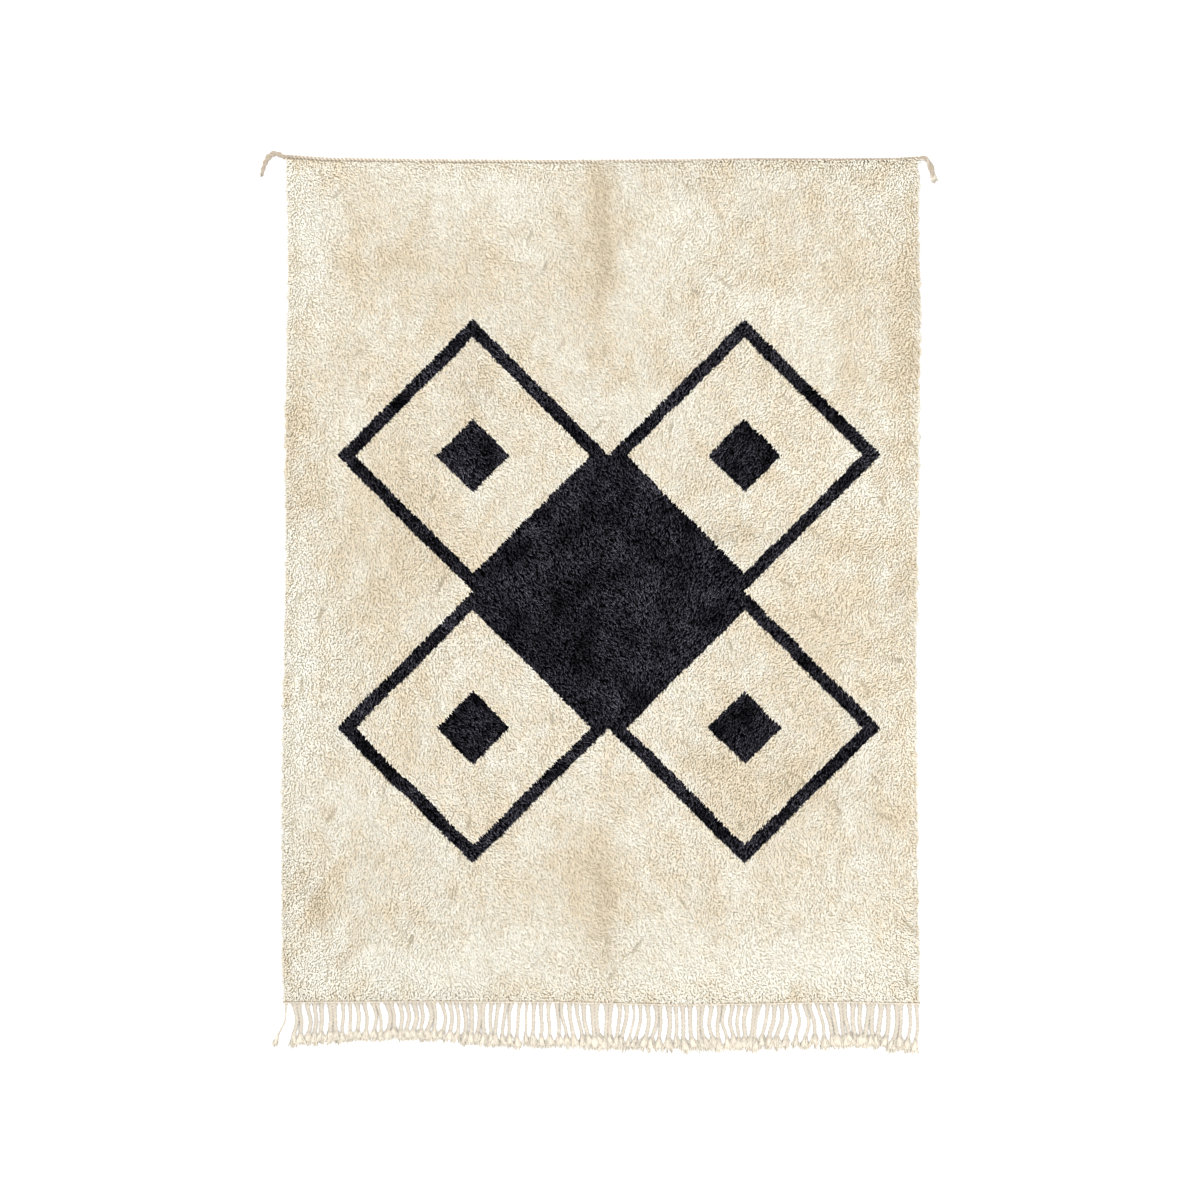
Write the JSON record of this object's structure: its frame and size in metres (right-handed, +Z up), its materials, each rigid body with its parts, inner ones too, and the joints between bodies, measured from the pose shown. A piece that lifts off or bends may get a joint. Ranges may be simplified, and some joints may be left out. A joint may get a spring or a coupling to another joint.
{
  "type": "beni ourain rug",
  "caption": "Hand-knotted wool rug with a thick cream pile, black lozenge figure, twined heading cord with twisted tails, and a knotted warp fringe.",
  "frame": {"origin": "middle of the pile field's flat underside, on the floor", "axes": "+Z up out of the pile, +Y along the rug to the heading cord and its tails, -Y to the fringe, +X across the rug to the right as seen from above with the heading at the top"},
  "size_m": [1.9359, 2.561, 0.0263],
  "materials": {
    "wool_pile": "long matte wool pile, cream with black lozenges, softly uneven in tone",
    "heading_yarn": "twined coarse natural wool yarn, matte",
    "warp_yarn": "plied natural wool and cotton warp, matte, frayed at the ends"
  },
  "bodies": {
    "root": {"pile_field": "wool_pile", "heading_cord": "heading_yarn", "warp_fringe": "warp_yarn"}
  },
  "joints": []
}
